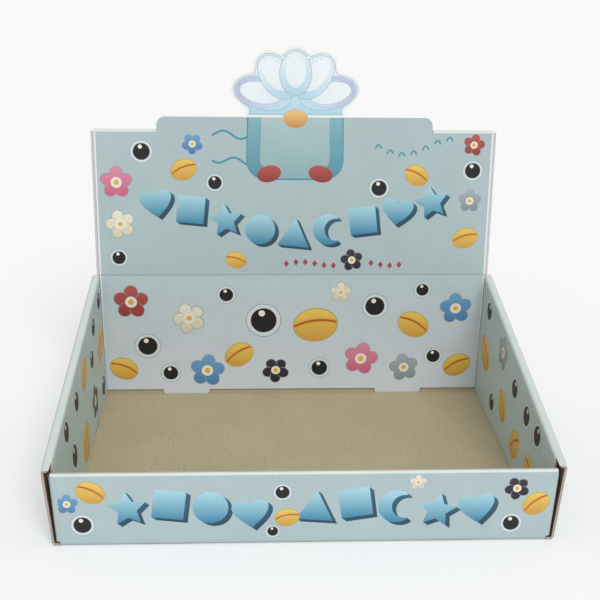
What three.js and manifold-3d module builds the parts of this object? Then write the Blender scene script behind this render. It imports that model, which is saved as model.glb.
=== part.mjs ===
// Counter display tray with a tall header, die-cut and folded from one sheet of fluted board.
// Every wall is rolled over to double thickness, with the dust flaps caught between its layers.
// Millimetres. X runs to the right, Y to the back, Z up. The origin is under the middle of the floor.

import * as THREE from 'three';
import { mergeVertices } from 'three/addons/utils/BufferGeometryUtils.js';
import Module from 'manifold-3d';

const wasm = await Module();
wasm.setup();

// Board
const BOARD = 1.8;              // thickness of the E-flute board
const LAYER_GAP = 0.3;          // air between two layers that lie against each other
const FOLD_RADIUS = 1.6;        // centreline radius of a right-angle fold
const ROLL_RADIUS = 1.5;        // centreline radius of the two creases on a rolled side wall
const CREASE_RADIUS = 7.2;      // centreline radius of the slight bends at the header and the topper
const CRUSH = 0.03;             // how far the die presses each face in at a flap, tab or shoulder crease

// Tray
const TRAY_WIDTH = 320;
const TRAY_DEPTH = 225;
const FRONT_HEIGHT = 51;
const BACK_HEIGHT = 105;        // floor to the crease under the header, and the rear height of the sides
const LEDGE_CLEARANCE = 1.2;    // air between the front wall's top and the side walls' rolled ledge
const SIDE_FLARE = 4;           // how far a side wall's front top corner stands out
const FOOT_SPLAY = 1.2;         // extra room between a side wall's layers at the floor
const FRONT_END_SPLAY = 1.8;    // how much wider the front wall is at its top, at each end
const REAR_CORNER_RADIUS = 6;   // rounded rear top corner of a side wall

// Dust flaps
const FRONT_FLAP_LENGTH = 50;
const BACK_FLAP_LENGTH = 70;
const FLAP_RUN = 8;             // stretch behind the front wall in which its flap slips into the side wall
const FLAP_DROP = 5;            // how far a flap's top edge stays below the fold above it
const FLAP_FOOT = 4;            // height of a flap's lower edge above the underside
const FLAP_BEVEL = 12.5;        // slanted upper corner of a front flap's free end

// Locking tabs
const TAB_WIDTH = 38;           // tabs of the front and back walls
const TAB_OFFSET = 87.5;        // middle of the tray to the middle of a tab
const SIDE_TAB_WIDTH = 28;
const SIDE_TAB_OFFSET = 46;
const TAB_BEVEL = 3;
const TAB_CLEARANCE = 0.3;      // air round a tab in its slot, and under its tip
const PANEL_LIFT = 3.5;         // rear inner panel's lower edge above the floor
const EDGE_LIFT = 0.4;          // other inner panels' lower edges above the floor

// Header
const HEADER_HEIGHT = 115;      // crease to shoulder, along the board
const HEADER_LEAN = THREE.MathUtils.degToRad(3.5);
const HEADER_BACK_MARGIN = 2.6; // rear layer stands out past the front layer
const STRIP_WIDTH = 212;        // raised middle of the header
const STRIP_RISE = 9.5;
const STRIP_RADIUS = 6;
const CUT_WIDTH = 0.6;          // opened cut between the strip and a shoulder fold

// Topper: a fan of ribbon loops over a rounded foot
const TOPPER_WIDTH = 101;
const TOPPER_HEIGHT = 53;
const TOPPER_FOOT = 76;         // width where it leaves the strip
const TOPPER_LEAN = THREE.MathUtils.degToRad(4);
const TOPPER_HUB = 12.7;        // height of the loops' common root above the strip
const FOOT_ROUND = 19;          // half height of the rounded foot
const LOOP_WIDTH = 31;
const LOOP_BEARINGS = [12, 51, 90, 129, 168];

// Fineness of the rounds
const ARC_STEPS = 5;
const SIDE_STATIONS = 12;
const TOPPER_STEPS = 72;

const half = BOARD / 2;
const layer = BOARD + LAYER_GAP;
const halfWidth = TRAY_WIDTH / 2;
const frontY = -TRAY_DEPTH / 2;
const backY = TRAY_DEPTH / 2;
const foldReach = FOLD_RADIUS + half;
const wallLap = 4 * foldReach;  // how much of the floor each wall's board is drawn with
const rollPitch = 2 * layer;
const sideFrontHeight = FRONT_HEIGHT + BOARD + LEDGE_CLEARANCE;
const vec2 = (x, y) => new THREE.Vector2(x, y);

// Joining and cutting

function toSolid(geometry) {
  const bare = geometry.clone();
  bare.deleteAttribute('normal');
  bare.deleteAttribute('uv');
  const merged = mergeVertices(bare, 1e-4);
  const vertProperties = new Float32Array(merged.attributes.position.array);
  const triVerts = new Uint32Array(merged.index.array);
  return new wasm.Manifold(new wasm.Mesh({ numProp: 3, vertProperties, triVerts }));
}

function toGeometry(solid) {
  const mesh = solid.getMesh();
  const geometry = new THREE.BufferGeometry();
  const positions = new Float32Array(mesh.vertProperties);
  geometry.setAttribute('position', new THREE.BufferAttribute(positions, mesh.numProp));
  geometry.setIndex(new THREE.BufferAttribute(new Uint32Array(mesh.triVerts), 1));
  geometry.computeVertexNormals();
  return geometry;
}

const joined = (solids) => solids.reduce((sum, solid) => sum.add(solid));

// A closed skin over sections with equally many points, each a list of Vector3 around the board.
function loft(rings, flatSection) {
  const count = flatSection.length;
  const positions = rings.flat().flatMap((p) => [p.x, p.y, p.z]);
  const index = [];
  for (let ring = 0; ring < rings.length - 1; ring += 1) {
    for (let i = 0; i < count; i += 1) {
      const a = ring * count + i;
      const b = ring * count + (i + 1) % count;
      index.push(a, b, b + count, a, b + count, a + count);
    }
  }
  const last = (rings.length - 1) * count;
  const clockwise = THREE.ShapeUtils.isClockWise(flatSection);
  for (const face of THREE.ShapeUtils.triangulateShape(flatSection, [])) {
    const [a, b, c] = clockwise ? face.toReversed() : face;
    index.push(c, b, a, last + a, last + b, last + c);
  }
  if (signedVolume(positions, index) < 0) {
    index.reverse();
  }
  const geometry = new THREE.BufferGeometry();
  geometry.setAttribute('position', new THREE.Float32BufferAttribute(positions, 3));
  geometry.setIndex(index);
  return toSolid(geometry);
}

function signedVolume(positions, index) {
  const corner = (i) => new THREE.Vector3().fromArray(positions, 3 * i);
  let volume = 0;
  for (let i = 0; i < index.length; i += 3) {
    const [a, b, c] = [index[i], index[i + 1], index[i + 2]].map(corner);
    volume += a.dot(b.cross(c)) / 6;
  }
  return volume;
}

// A flat outline given as [x, z] and cut through everything from one Y to another.
function plateAcrossY(outline, fromY, toY) {
  const shape = new THREE.Shape(outline.map(([x, z]) => vec2(x, z)));
  const geometry = new THREE.ExtrudeGeometry(shape, { depth: toY - fromY, bevelEnabled: false });
  geometry.rotateX(Math.PI / 2);
  geometry.translate(0, toY, 0);
  return toSolid(geometry);
}

// A flat outline given as [y, z] and cut through everything from one X to another.
function plateAcrossX(outline, fromX, toX) {
  const section = outline.map(([y, z]) => vec2(y, z));
  return loft([fromX, toX].map((x) => section.map((p) => new THREE.Vector3(x, p.x, p.y))), section);
}

function block(minX, maxX, minY, maxY, minZ, maxZ) {
  const geometry = new THREE.BoxGeometry(maxX - minX, maxY - minY, maxZ - minZ);
  geometry.translate((minX + maxX) / 2, (minY + maxY) / 2, (minZ + maxZ) / 2);
  return toSolid(geometry);
}

// The board seen edge-on

const facing = (heading) => vec2(-Math.sin(heading), Math.cos(heading));

// The board's centreline through a row of corners, each rounded to its own radius.
function roundedLine(corners, radii) {
  const headings = corners.slice(1).map((corner, i) => corner.clone().sub(corners[i]).angle());
  const samples = [];
  const place = (point, heading) => {
    if (!samples.length || samples.at(-1).point.distanceTo(point) > half / 100) {
      samples.push({ point, heading });
    }
  };
  place(corners[0], headings[0]);
  for (let i = 1; i < corners.length - 1; i += 1) {
    const change = headings[i] - headings[i - 1] + Math.PI;
    const turn = THREE.MathUtils.euclideanModulo(change, 2 * Math.PI) - Math.PI;
    const reach = radii[i - 1] * Math.tan(Math.abs(turn) / 2);
    const towards = corners[i].clone().sub(corners[i - 1]).normalize();
    const start = corners[i].clone().addScaledVector(towards, -reach);
    const arm = Math.sign(turn) * radii[i - 1];
    const centre = start.clone().addScaledVector(facing(headings[i - 1]), arm);
    for (let step = 0; step <= ARC_STEPS; step += 1) {
      const heading = headings[i - 1] + turn * step / ARC_STEPS;
      place(centre.clone().addScaledVector(facing(heading), -arm), heading);
    }
  }
  place(corners.at(-1), headings.at(-1));
  return samples;
}

// The board's outline in the same view: down one face and back along the other.
function boardSection(corners, radii, crush = 0) {
  const samples = roundedLine(corners, radii);
  const face = (side) => samples.map(({ point, heading }) => (
    point.clone().addScaledVector(facing(heading), side * (half - crush))
  ));
  return [...face(1), ...face(-1).reverse()];
}

// Board bent in the view from the side, running straight along X.
function boardAlongX(corners, radii, fromX, toX, crush = 0) {
  const section = boardSection(corners, radii, crush);
  return loft([fromX, toX].map((x) => section.map((p) => new THREE.Vector3(x, p.x, p.y))), section);
}

// Where a side wall's two layers run. The flare grows from nothing at the back to its full size in front.

function sideHeight(y) {
  return THREE.MathUtils.mapLinear(y, frontY, backY, sideFrontHeight, BACK_HEIGHT);
}

function outerX(y, z) {
  const flare = SIDE_FLARE * (backY - y) / TRAY_DEPTH;
  return halfWidth - half + flare * (z - half) / (sideHeight(y) - BOARD);
}

const sideFootX = halfWidth - half - rollPitch - FOOT_SPLAY;
const sideFootZ = BOARD + EDGE_LIFT;

function innerX(y, z) {
  const top = sideHeight(y) - half;
  const topX = outerX(y, top) - rollPitch;
  return THREE.MathUtils.mapLinear(z, sideFootZ, top, sideFootX, topX);
}

const betweenLayers = (y, z) => (outerX(y, z) + innerX(y, z)) / 2;

function stations(fromY, toY, count) {
  return Array.from({ length: count + 1 }, (_, i) => THREE.MathUtils.lerp(fromY, toY, i / count));
}

// Side walls: up from the floor, over the ledge and down again inside

function sideSection(y) {
  const top = sideHeight(y) - half;
  return boardSection([
    vec2(halfWidth - wallLap, half),
    vec2(halfWidth - half, half),
    vec2(outerX(y, top), top),
    vec2(innerX(y, top), top),
    vec2(sideFootX, sideFootZ),
  ], [FOLD_RADIUS, ROLL_RADIUS, ROLL_RADIUS]);
}

function lofted(sectionAt, places, side) {
  const rings = places.map((y) => sectionAt(y).map((p) => new THREE.Vector3(side * p.x, y, p.y)));
  return loft(rings, sectionAt(places[0]));
}

// All of the board inside the middle of a side wall, above the floor and below the ledge.
function insideLayerZone(side, fromY, toY, rise) {
  const zone = (y) => [
    vec2(halfWidth / 2, BOARD + EDGE_LIFT / 2),
    vec2(betweenLayers(y, BOARD), BOARD + EDGE_LIFT / 2),
    vec2(betweenLayers(y, sideHeight(y) - BOARD), sideHeight(y) + rise),
    vec2(halfWidth / 2, sideHeight(y) + rise),
  ];
  return lofted(zone, [fromY, toY], side);
}

function rearCornerCut(side) {
  const endY = backY - LAYER_GAP;
  const centre = vec2(endY - REAR_CORNER_RADIUS, sideHeight(endY) - REAR_CORNER_RADIUS);
  const arc = Array.from({ length: 2 * ARC_STEPS + 1 }, (_, i) => {
    const angle = Math.PI / 2 * i / (2 * ARC_STEPS);
    const reach = vec2(Math.cos(angle), Math.sin(angle)).multiplyScalar(REAR_CORNER_RADIUS);
    return [centre.x + reach.x, centre.y + reach.y];
  });
  const outline = [
    [backY + BOARD, centre.y],
    ...arc,
    [centre.x, BACK_HEIGHT + BOARD],
    [backY + BOARD, BACK_HEIGHT + BOARD],
  ];
  return plateAcrossX(outline, side * halfWidth / 2, side * (halfWidth + SIDE_FLARE + BOARD));
}

function cornerRelief(side, towards) {
  const limits = [side * halfWidth / 2, side * (frontPanelHalf(0) + LAYER_GAP)].sort((a, b) => a - b);
  const ends = [towards * (backY - foldReach), towards * (backY + BOARD)].sort((a, b) => a - b);
  return block(...limits, ...ends, -BOARD, BOARD + EDGE_LIFT);
}

function sideWall(side) {
  const endY = backY - LAYER_GAP;
  const wall = lofted(sideSection, stations(frontY + LAYER_GAP, endY, SIDE_STATIONS), side);
  return wall
    .subtract(insideLayerZone(side, frontY - BOARD, frontY + FLAP_RUN, -BOARD))
    .subtract(insideLayerZone(side, backY - layer, backY + BOARD, BOARD))
    .subtract(rearCornerCut(side))
    .subtract(cornerRelief(side, -1))
    .subtract(cornerRelief(side, 1));
}

function sideTab(side, centreY) {
  const reach = SIDE_TAB_WIDTH / 2;
  const section = (y) => boardSection([
    vec2(innerX(y, sideFootZ + 2 * BOARD), sideFootZ + 2 * BOARD),
    vec2(innerX(y, TAB_CLEARANCE), TAB_CLEARANCE),
  ], [], CRUSH);
  const blank = lofted(section, [centreY - reach, centreY + reach], side);
  const outline = tabOutline(centreY, SIDE_TAB_WIDTH);
  return blank.intersect(plateAcrossX(outline, side * halfWidth / 2, side * halfWidth));
}

// A tab's outline, in from its panel and bevelled at the tip.
function tabOutline(centre, width) {
  const reach = width / 2;
  const tip = reach - TAB_BEVEL / 2;
  const root = BOARD + PANEL_LIFT + BOARD;
  return [
    [centre - reach, root],
    [centre - reach, TAB_BEVEL],
    [centre - tip, TAB_CLEARANCE],
    [centre + tip, TAB_CLEARANCE],
    [centre + reach, TAB_BEVEL],
    [centre + reach, root],
  ];
}

// Floor

function floorPanel() {
  const insideX = halfWidth - wallLap + foldReach;
  const insideY = backY - wallLap + foldReach;
  return block(-insideX, insideX, -insideY, insideY, 0, BOARD);
}

function slot(centreX, centreY, lengthX, lengthY) {
  const reachX = lengthX / 2 + TAB_CLEARANCE;
  const reachY = lengthY / 2 + TAB_CLEARANCE;
  const endsX = [centreX - reachX, centreX + reachX];
  const endsY = [centreY - reachY, centreY + reachY];
  return block(...endsX, ...endsY, -BOARD, BOARD + EDGE_LIFT / 2);
}

function slots() {
  const cuts = [];
  for (const side of [-1, 1]) {
    cuts.push(slot(side * TAB_OFFSET, frontInnerY, TAB_WIDTH, BOARD));
    cuts.push(slot(side * TAB_OFFSET, backInnerY, TAB_WIDTH, BOARD));
    for (const place of [-SIDE_TAB_OFFSET, SIDE_TAB_OFFSET]) {
      cuts.push(slot(side * innerX(place, half), place, BOARD, SIDE_TAB_WIDTH));
    }
  }
  return joined(cuts);
}

// Front wall: up, over a tight roll and down inside, with a dust flap at each end

const frontInnerY = frontY + half + layer;
const frontFlapTop = FRONT_HEIGHT - FLAP_DROP;

// Centreline of the front dust flap's fold, at a height.
function frontFoldX(z) {
  const splay = FRONT_END_SPLAY * (z / FRONT_HEIGHT - 1);
  return halfWidth - half - layer + LAYER_GAP + splay + half;
}

const frontPanelHalf = (z) => frontFoldX(z) - FOLD_RADIUS - LAYER_GAP;

function frontWall() {
  const roll = layer / 2;
  const end = frontFoldX(FRONT_HEIGHT);
  const board = boardAlongX([
    vec2(frontY + wallLap, half),
    vec2(frontY + half, half),
    vec2(frontY + half, FRONT_HEIGHT - half),
    vec2(frontInnerY, FRONT_HEIGHT - half),
    vec2(frontInnerY, sideFootZ),
  ], [FOLD_RADIUS, roll, roll], -end, end);
  const foot = frontPanelHalf(0);
  const outline = [
    [-foot, -BOARD],
    [foot, -BOARD],
    [foot, frontFlapTop + LAYER_GAP],
    [end, frontFlapTop + LAYER_GAP],
    [end, FRONT_HEIGHT + BOARD],
    [-end, FRONT_HEIGHT + BOARD],
    [-end, frontFlapTop + LAYER_GAP],
    [-foot, frontFlapTop + LAYER_GAP],
  ];
  const innerEnd = sideFootX - half - LAYER_GAP;
  const trimmed = board.intersect(plateAcrossY(outline, frontY - BOARD, frontY + 2 * wallLap));
  const spare = [-1, 1].map((side) => {
    const reach = [side * innerEnd, side * (end + BOARD)].sort((a, b) => a - b);
    const ends = [frontY + half + roll, frontY + wallLap];
    return block(...reach, ...ends, BOARD + EDGE_LIFT / 2, FRONT_HEIGHT - BOARD);
  });
  return trimmed.subtract(joined(spare));
}

function flapSection(z, side, corners, radii) {
  const section = boardSection(corners, radii, CRUSH);
  return section.map((p) => new THREE.Vector3(side * p.x, p.y, z));
}

function frontFlap(side) {
  const cornersAt = (z) => [
    vec2(frontPanelHalf(z) - wallLap, frontY + half),
    vec2(frontFoldX(z), frontY + half),
    vec2(betweenLayers(frontY + FLAP_RUN, z), frontY + FLAP_RUN),
    vec2(betweenLayers(frontY + FRONT_FLAP_LENGTH, z), frontY + FRONT_FLAP_LENGTH),
  ];
  const radii = [FOLD_RADIUS, 2 * FOLD_RADIUS];
  const rings = [FLAP_FOOT, frontFlapTop].map((z) => flapSection(z, side, cornersAt(z), radii));
  const flap = loft(rings, boardSection(cornersAt(FLAP_FOOT), radii, CRUSH));
  return flap.subtract(flapBevel(side, frontY + FRONT_FLAP_LENGTH, -1, frontFlapTop));
}

// The free upper corner of a dust flap, cut off at a slant.
function flapBevel(side, tipY, towards, topZ) {
  const outline = [
    [tipY + towards * FLAP_BEVEL, topZ + BOARD],
    [tipY - towards * BOARD, topZ + BOARD],
    [tipY - towards * BOARD, topZ - FLAP_BEVEL],
    [tipY, topZ - FLAP_BEVEL],
  ];
  const ordered = towards < 0 ? outline : outline.reverse();
  return plateAcrossX(ordered, side * halfWidth / 2, side * (halfWidth + SIDE_FLARE + BOARD));
}

// Back wall and the rear layer of the header, with a dust flap at each end

const backCentreY = backY - half;
const backInnerY = backCentreY - layer;
const backFlapTop = BACK_HEIGHT - FLAP_DROP - foldReach;
const backPanelHalf = betweenLayers(backY, FLAP_FOOT) - FOLD_RADIUS - LAYER_GAP;
const shoulderHalf = innerX(backY, BACK_HEIGHT - half) - half - LAYER_GAP;
const headerBackHalf = shoulderHalf + HEADER_BACK_MARGIN;
const roll = layer / 2;
const shoulderTop = HEADER_HEIGHT - half;

// A point of the header: how far behind its front layer, and how far up along it.
function onHeader(behind, up) {
  return vec2(
    backInnerY + behind * Math.cos(HEADER_LEAN) + up * Math.sin(HEADER_LEAN),
    BACK_HEIGHT - behind * Math.sin(HEADER_LEAN) + up * Math.cos(HEADER_LEAN),
  );
}

const rearCrease = onHeader(layer, layer * Math.tan(HEADER_LEAN / 2));

function backLayer() {
  const board = boardAlongX([
    vec2(backY - wallLap, half),
    vec2(backCentreY, half),
    rearCrease,
    onHeader(layer, shoulderTop - roll),
  ], [FOLD_RADIUS, CREASE_RADIUS], -headerBackHalf, headerBackHalf);
  const step = backFlapTop + LAYER_GAP;
  const top = BACK_HEIGHT + HEADER_HEIGHT;
  const outline = [
    [-backPanelHalf, -BOARD],
    [backPanelHalf, -BOARD],
    [backPanelHalf, step],
    [headerBackHalf, step],
    [headerBackHalf, top],
    [-headerBackHalf, top],
    [-headerBackHalf, step],
    [-backPanelHalf, step],
  ];
  return board
    .intersect(plateAcrossY(outline, backY - 2 * wallLap, backY + HEADER_HEIGHT))
    .subtract(headerWindow());
}

function backFlap(side) {
  const cornersAt = (z) => [
    vec2(backPanelHalf - wallLap, backCentreY),
    vec2(betweenLayers(backY, z), backCentreY),
    vec2(betweenLayers(backY - BACK_FLAP_LENGTH, z), backY - BACK_FLAP_LENGTH),
  ];
  const rings = [FLAP_FOOT, backFlapTop].map((z) => flapSection(z, side, cornersAt(z), [FOLD_RADIUS]));
  const flap = loft(rings, boardSection(cornersAt(FLAP_FOOT), [FOLD_RADIUS], CRUSH));
  const tipY = backY - BACK_FLAP_LENGTH;
  const drop = FLAP_DROP + foldReach;
  const outline = [
    [backY - foldReach, backFlapTop + BOARD],
    [backY - 2 * foldReach, sideHeight(backY - 2 * foldReach) - drop],
    [tipY + drop, sideHeight(tipY) - drop],
    [tipY - BOARD, sideHeight(tipY) - 3 * drop],
    [tipY - BOARD, backFlapTop + BOARD],
  ];
  return flap.subtract(plateAcrossX(outline, side * halfWidth / 2, side * (halfWidth + BOARD)));
}

// Front layer of the header: it folds over at the shoulders and runs down to the floor as the rear
// inner panel. Between the shoulders a strip with the topper stands up, cut out of the rear layer.

function shoulderFold(side) {
  const legs = 4 * BOARD;
  const ends = [side * (STRIP_WIDTH / 2 + CUT_WIDTH), side * shoulderHalf].sort((a, b) => a - b);
  return boardAlongX([
    onHeader(layer, shoulderTop - legs),
    onHeader(layer, shoulderTop),
    onHeader(0, shoulderTop),
    onHeader(0, shoulderTop - legs),
  ], [roll, roll], ...ends, CRUSH);
}

// Distance from the fan's centre to the far side of an ellipse, looking along a bearing.
function ellipseExit(bearing, { x, y, long, wide, tilt }) {
  const local = (u, v) => [
    (u * Math.cos(tilt) + v * Math.sin(tilt)) / long,
    (v * Math.cos(tilt) - u * Math.sin(tilt)) / wide,
  ];
  const [dx, dy] = local(Math.cos(bearing), Math.sin(bearing));
  const [px, py] = local(-x, -y);
  const a = dx * dx + dy * dy;
  const b = px * dx + py * dy;
  const c = px * px + py * py - 1;
  const inside = b * b - a * c;
  return inside < 0 ? 0 : (-b + Math.sqrt(inside)) / a;
}

// The topper's outline as [x, up], from the right end of its foot over the loops to the left end.
function topperOutline() {
  const loops = LOOP_BEARINGS.map(THREE.MathUtils.degToRad).map((bearing) => {
    const upright = Math.abs(Math.sin(bearing));
    const reach = THREE.MathUtils.lerp(TOPPER_WIDTH / 2, TOPPER_HEIGHT - TOPPER_HUB, upright ** 2);
    const long = reach / 2;
    const centre = { x: long * Math.cos(bearing), y: long * Math.sin(bearing) };
    return { ...centre, long, wide: LOOP_WIDTH / 2, tilt: bearing };
  });
  const foot = { x: 0, y: -TOPPER_HUB, long: TOPPER_FOOT / 2, wide: FOOT_ROUND, tilt: 0 };
  const footEdge = Math.atan2(-TOPPER_HUB, TOPPER_FOOT / 2);
  return Array.from({ length: TOPPER_STEPS + 1 }, (_, i) => {
    const bearing = THREE.MathUtils.lerp(footEdge, Math.PI - footEdge, i / TOPPER_STEPS);
    const reach = Math.max(...[...loops, foot].map((ellipse) => ellipseExit(bearing, ellipse)));
    return [reach * Math.cos(bearing), TOPPER_HUB + reach * Math.sin(bearing)];
  });
}

// The strip and topper as one outline, [x, up from the shoulder].
function stripOutline() {
  const end = STRIP_WIDTH / 2;
  const roundEnd = (side) => Array.from({ length: ARC_STEPS + 1 }, (_, i) => {
    const angle = Math.PI / 2 * (side > 0 ? i : ARC_STEPS - i) / ARC_STEPS;
    return [
      side * (end - STRIP_RADIUS + STRIP_RADIUS * Math.cos(angle)),
      STRIP_RISE - STRIP_RADIUS + STRIP_RADIUS * Math.sin(angle),
    ];
  });
  const topper = topperOutline().map(([x, up]) => [x, STRIP_RISE + up]);
  return [[-end, 0], [end, 0], ...roundEnd(1), ...topper, ...roundEnd(-1)];
}

// The opening that the strip and topper leave in the rear layer, upside down below the shoulder fold.
function headerWindow() {
  const foldLine = HEADER_HEIGHT - BOARD;
  const outline = stripOutline().map(([x, up]) => [x, onHeader(layer, foldLine - up).y]);
  outline[0][1] = onHeader(layer, HEADER_HEIGHT).y;
  outline[1][1] = onHeader(layer, HEADER_HEIGHT).y;
  return plateAcrossY(outline.reverse(), backInnerY + layer / 2, backY + HEADER_HEIGHT);
}

function frontLayer() {
  const stripTop = HEADER_HEIGHT + STRIP_RISE;
  const tipLean = HEADER_LEAN + TOPPER_LEAN;
  const root = onHeader(0, stripTop);
  const tip = vec2(Math.sin(tipLean), Math.cos(tipLean)).multiplyScalar(TOPPER_HEIGHT + BOARD).add(root);
  const board = boardAlongX([
    vec2(backInnerY, BOARD + PANEL_LIFT),
    vec2(backInnerY, BACK_HEIGHT),
    root,
    tip,
  ], [CREASE_RADIUS, CREASE_RADIUS], -shoulderHalf, shoulderHalf);
  const footHalf = sideFootX - half - LAYER_GAP;
  const legTop = onHeader(0, shoulderTop - roll).y;
  const upAt = (up) => (up < STRIP_RISE
    ? onHeader(0, HEADER_HEIGHT + up).y
    : root.y + (up - STRIP_RISE) * Math.cos(tipLean));
  const [, , ...raised] = stripOutline().map(([x, up]) => [x, upAt(up)]);
  const end = STRIP_WIDTH / 2;
  const outline = [
    [-footHalf, 0],
    [footHalf, 0],
    [shoulderHalf, BACK_HEIGHT],
    [shoulderHalf, legTop],
    [end, legTop],
    ...raised,
    [-end, legTop],
    [-shoulderHalf, legTop],
    [-shoulderHalf, BACK_HEIGHT],
  ];
  return board.intersect(plateAcrossY(outline, backY - wallLap, backY + HEADER_HEIGHT));
}

function wallTabs() {
  const tabs = [];
  for (const side of [-1, 1]) {
    for (const y of [frontInnerY, backInnerY]) {
      tabs.push(plateAcrossY(tabOutline(side * TAB_OFFSET, TAB_WIDTH), y - half, y + half));
    }
  }
  return tabs;
}

function sideTabs(side) {
  return [-SIDE_TAB_OFFSET, SIDE_TAB_OFFSET].map((place) => sideTab(side, place));
}

function foldedSheet() {
  const bothSides = (make) => [-1, 1].map(make);
  const walls = joined([
    floorPanel(),
    frontWall(),
    backLayer(),
    frontLayer(),
    ...bothSides(sideWall),
    ...bothSides(frontFlap),
    ...bothSides(backFlap),
    ...bothSides(shoulderFold),
  ]);
  return joined([walls.subtract(slots()), ...wallTabs(), ...bothSides(sideTabs).flat()]);
}

// Litho-printed board: pale blue print outside, semi-gloss.
const printedBoard = new THREE.MeshStandardMaterial({ color: 0xb9cbcf, roughness: 0.45, metalness: 0 });

const displayBox = new THREE.Mesh(toGeometry(foldedSheet()), printedBoard);
displayBox.name = 'display_box';

const counterDisplay = new THREE.Group();
counterDisplay.add(displayBox);

export default counterDisplay;
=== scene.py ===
import math
import random
import bpy
import numpy as np
from mathutils import Matrix, Vector
from mathutils.geometry import delaunay_2d_cdt


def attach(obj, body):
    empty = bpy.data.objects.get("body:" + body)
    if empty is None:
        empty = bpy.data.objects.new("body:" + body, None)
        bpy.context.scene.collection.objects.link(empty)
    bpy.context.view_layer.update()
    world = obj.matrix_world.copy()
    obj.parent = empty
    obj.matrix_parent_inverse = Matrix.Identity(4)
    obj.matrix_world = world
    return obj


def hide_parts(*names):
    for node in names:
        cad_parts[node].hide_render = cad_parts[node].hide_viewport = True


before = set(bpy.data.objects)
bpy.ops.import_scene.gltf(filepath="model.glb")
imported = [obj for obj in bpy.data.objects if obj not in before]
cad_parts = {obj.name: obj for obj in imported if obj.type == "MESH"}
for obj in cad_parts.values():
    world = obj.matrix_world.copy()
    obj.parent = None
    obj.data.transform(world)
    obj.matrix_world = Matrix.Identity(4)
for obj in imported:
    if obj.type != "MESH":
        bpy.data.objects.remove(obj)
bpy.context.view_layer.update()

# The camera stands in front of the counter, a little left of the tray's middle, and looks down into
# it. Lengths in this file are millimetres until a mesh or an object is made from them.
MM = 0.001
EYE = Vector((-35.2, -692.1, 378.0))
PITCH, YAW, TILT = (math.radians(angle) for angle in (20.17, 2.89, 0.87))
FOCAL_PX, FRAME_PX, SENSOR_MM = 1060.7, 600, 36.0


def add_camera():
    ahead = Vector((math.sin(YAW) * math.cos(PITCH), math.cos(YAW) * math.cos(PITCH), -math.sin(PITCH)))
    level = Vector((math.cos(YAW), -math.sin(YAW), 0))
    upright = level.cross(ahead)
    right = level * math.cos(TILT) + upright * math.sin(TILT)
    up = upright * math.cos(TILT) - level * math.sin(TILT)
    lens = bpy.data.cameras.new("photo_camera")
    lens.sensor_width = SENSOR_MM
    lens.lens = FOCAL_PX * SENSOR_MM / FRAME_PX
    lens.clip_start = 0.01
    camera = bpy.data.objects.new("photo_camera", lens)
    camera.matrix_world = Matrix.Translation(EYE * MM) @ Matrix((right, up, -ahead)).transposed().to_4x4()
    bpy.context.scene.collection.objects.link(camera)
    bpy.context.scene.camera = camera


add_camera()

# The long middle of the blank: front inner panel, roll, front wall, floor, back wall and the header's
# rear layer. It is E-flute, a wavy medium between a white printed liner and a kraft one, die-cut and
# creased flat and then folded by hand. The floor has slots for the eight locking tabs.
FLUTE_PITCH = 3.4
BOARD = 1.8
HALF = BOARD / 2
LINER = 0.34                    # thickness of each liner
UV_MM = 100                     # one unit of the blank's map
CLOUD, WIDE_CLOUD = 1000 / 45, 1000 / 22        # uneven tones in the ink and in the pulp
# A screen's dots, about 0.15 apart, and paper fibres, about 0.03 wide, are too fine to show at this size.
# They are drawn this coarse instead, so that the print and the paper look grainy and not flat.
SPECKLE, FIBRE = 1000 / 800, 1000 / 750
INKS = {}


def linear(hex_colour):
    channels = [int(hex_colour[i:i + 2], 16) / 255 for i in (1, 3, 5)]
    return [c / 12.92 if c <= 0.04045 else ((c + 0.055) / 1.055) ** 2.4 for c in channels] + [1.0]


def node(tree, kind, values=None, links=None):
    """Adds a node; values go to its own fields or unlinked sockets, links to its other sockets."""
    made = tree.nodes.new(kind)
    for key, value in (values or {}).items():
        if isinstance(key, str) and hasattr(made, key):
            setattr(made, key, value)
        else:
            made.inputs[key].default_value = value
    for key, source in (links or {}).items():
        tree.links.new(source.outputs[0] if hasattr(source, "outputs") else source, made.inputs[key])
    return made


def empty_material(name):
    material = bpy.data.materials.new(name)
    material.use_nodes = True
    material.node_tree.nodes.clear()
    return material, material.node_tree


def varied(tree, coordinate, size, spread, detail=3.0):
    """Noise that swings round 1 by the given spread, with grains of about the given size."""
    grains = {"Scale": 1 / (size * MM), "Detail": detail}
    noise = node(tree, "ShaderNodeTexNoise", grains, {"Vector": coordinate})
    limits = {"From Min": 0.3, "From Max": 0.7, "To Min": 1 - spread, "To Max": 1 + spread}
    return node(tree, "ShaderNodeMapRange", limits, {0: noise})


def flute_wave(tree, height):
    """The washboard of the flutes, from the flat blank's coordinate across them."""
    blank = node(tree, "ShaderNodeUVMap", {"uv_map": "blank"})
    across = node(tree, "ShaderNodeSeparateXYZ", links={0: blank})
    turns = 2 * math.pi * UV_MM / FLUTE_PITCH
    turn = node(tree, "ShaderNodeMath", {"operation": "MULTIPLY", 1: turns}, {0: across})
    wave = node(tree, "ShaderNodeMath", {"operation": "SINE"}, {0: turn})
    return node(tree, "ShaderNodeMath", {"operation": "MULTIPLY", 1: height}, {0: wave})


def product(tree, first, second):
    return node(tree, "ShaderNodeMath", {"operation": "MULTIPLY"}, {0: first, 1: second})


def surface(tree, colour, bump_height, strength, values):
    bump = node(tree, "ShaderNodeBump", {"Strength": strength, "Distance": 0.0001}, {"Height": bump_height})
    shader = node(tree, "ShaderNodeBsdfPrincipled", values, {"Base Color": colour, "Normal": bump})
    node(tree, "ShaderNodeOutputMaterial", links={0: shader})


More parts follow.
